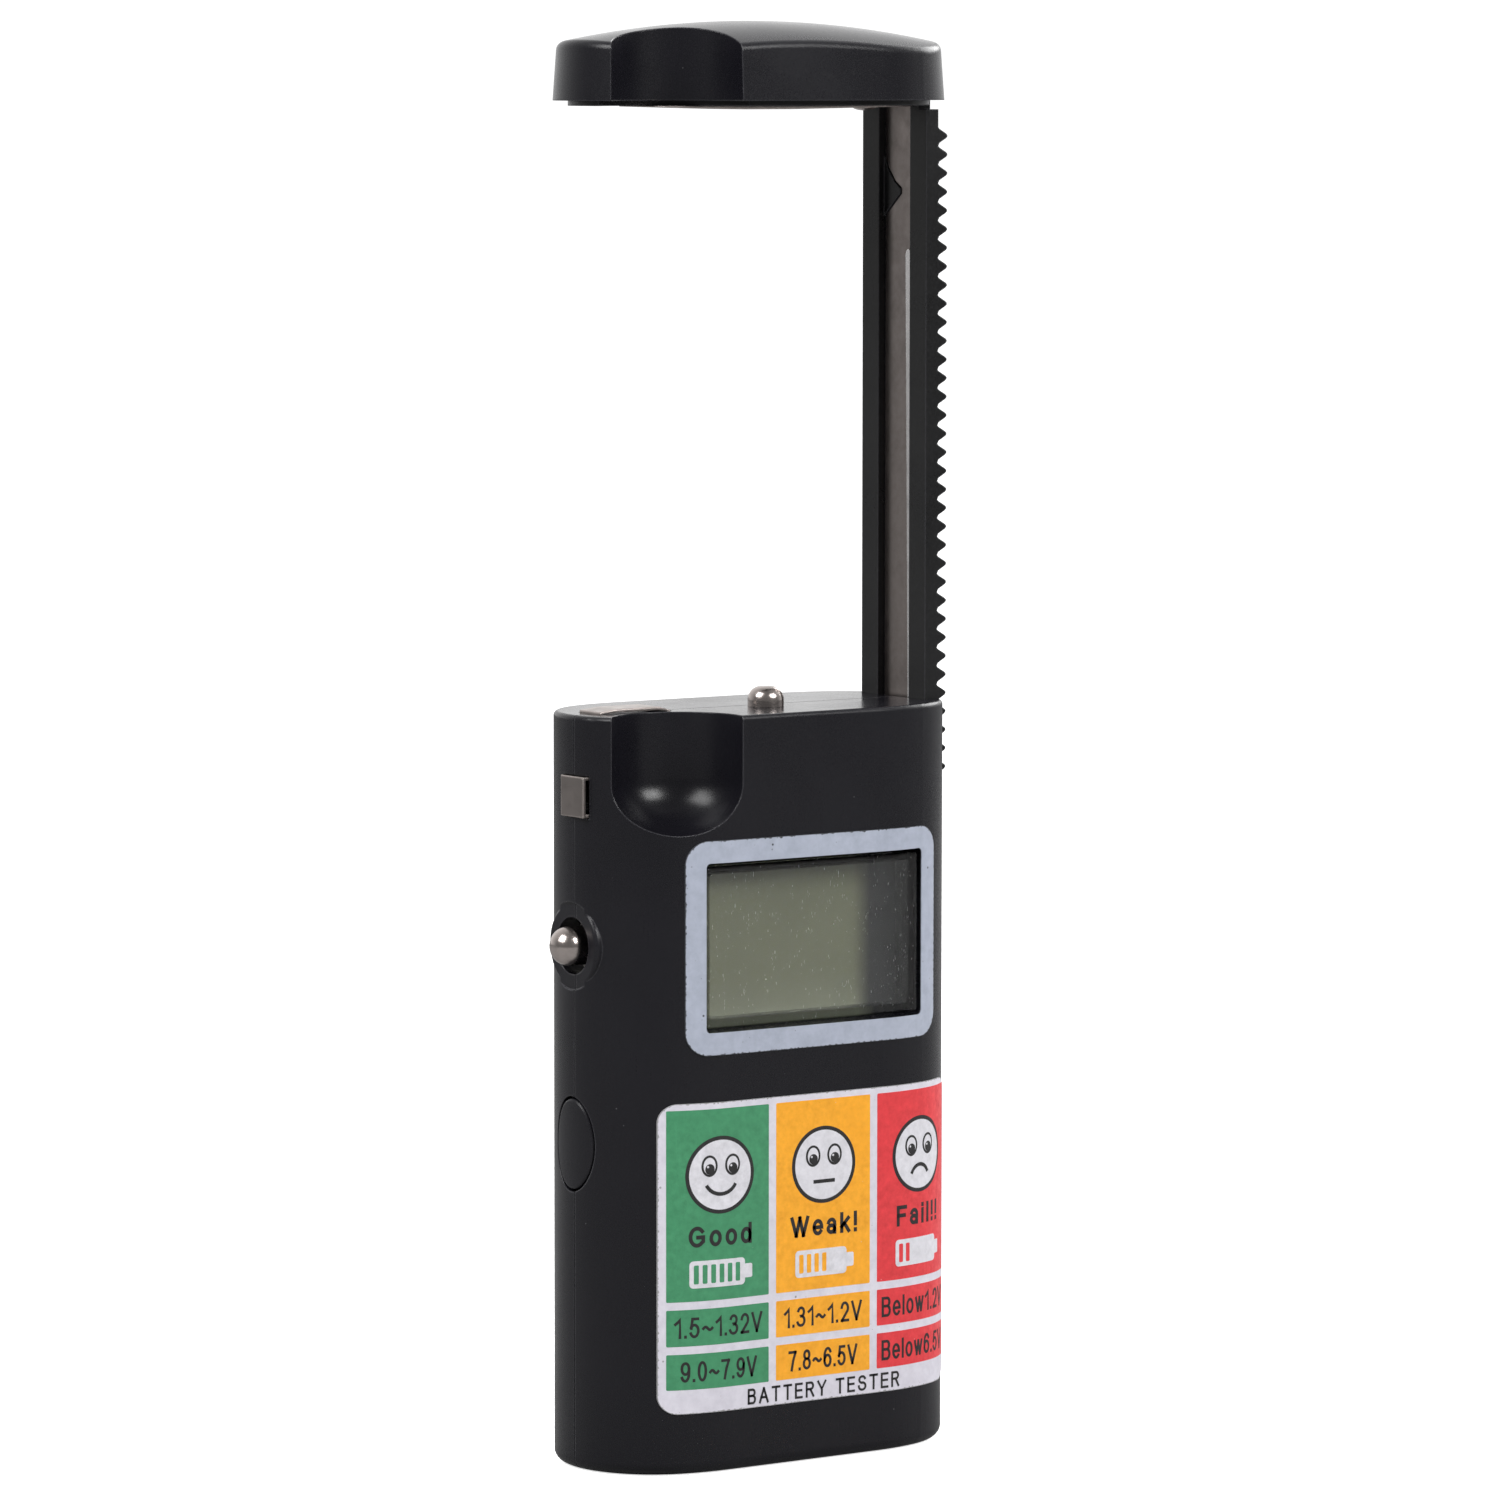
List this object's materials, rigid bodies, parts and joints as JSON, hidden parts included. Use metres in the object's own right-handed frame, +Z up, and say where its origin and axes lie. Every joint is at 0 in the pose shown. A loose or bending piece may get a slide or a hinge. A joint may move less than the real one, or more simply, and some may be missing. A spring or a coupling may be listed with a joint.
{
  "type": "battery tester",
  "caption": "Hand-held battery tester: flat oval case with a display, dome contacts and an oval button, and a sliding toothed arm whose head clamps a cell.",
  "frame": {"origin": "middle of the case's bottom face, on the seam between the shells", "axes": "+Z up the case, -Y is the display side, +X is the side with the sliding arm"},
  "size_m": [0.0485, 0.0221, 0.1534],
  "materials": {
    "case_plastic": "satin black moulded plastic with a fine spark texture",
    "arm_plastic": "satin dark grey moulded plastic",
    "surround_film": "matt silver-lavender printed film",
    "clear_plastic": "clear moulded plastic",
    "lcd_glass": "polished display glass",
    "lcd_back": "grey-green reflective film",
    "label_film": "silver printed label with coloured panels",
    "board": "green solder mask",
    "chip_plastic": "matt black epoxy",
    "component": "matt ceramic and resin",
    "holder_plastic": "plain natural plastic",
    "elastomer": "soft layered elastomer",
    "nickel": "satin nickel plate with a warm tint",
    "steel": "zinc-plated steel",
    "wire": "plain insulated wire"
  },
  "bodies": {
    "case": {"front_shell": "case_plastic", "rear_shell": "case_plastic", "case_screws": "steel", "display_surround": "surround_film", "display_lens": "clear_plastic", "lcd_front_glass": "lcd_glass", "lcd_rear_glass": "lcd_glass", "lcd_reflector": "lcd_back", "zebra_strip": "elastomer", "lcd_holder": "holder_plastic", "front_label": "label_film", "circuit_board": "board", "control_chip": "chip_plastic", "board_components": "component", "push_switch": "chip_plastic", "top_dome_contact": "nickel", "dome_washer": "steel", "side_dome_contact": "nickel", "side_contact_plate": "holder_plastic", "negative_strip": "nickel", "arm_wiper": "nickel", "contact_leads": "wire"},
    "arm": {"slide_arm": "arm_plastic", "head_shell": "case_plastic", "arm_contact_strip": "nickel", "head_contact_plate": "nickel", "plate_rivet": "nickel"},
    "button": {"test_button": "case_plastic", "switch_plunger": "holder_plastic"}
  },
  "joints": [
    {"name": "arm_slide", "type": "slide", "parent": "case", "child": "arm", "axis": [0, 0, 1], "range_m": [-0.061, 0]},
    {"name": "test_button_press", "type": "slide", "parent": "case", "child": "button", "axis": [1, 0, 0], "range_m": [0, 0.0008], "stiffness_N_per_m": 1200, "springref_m": -0.0004}
  ]
}
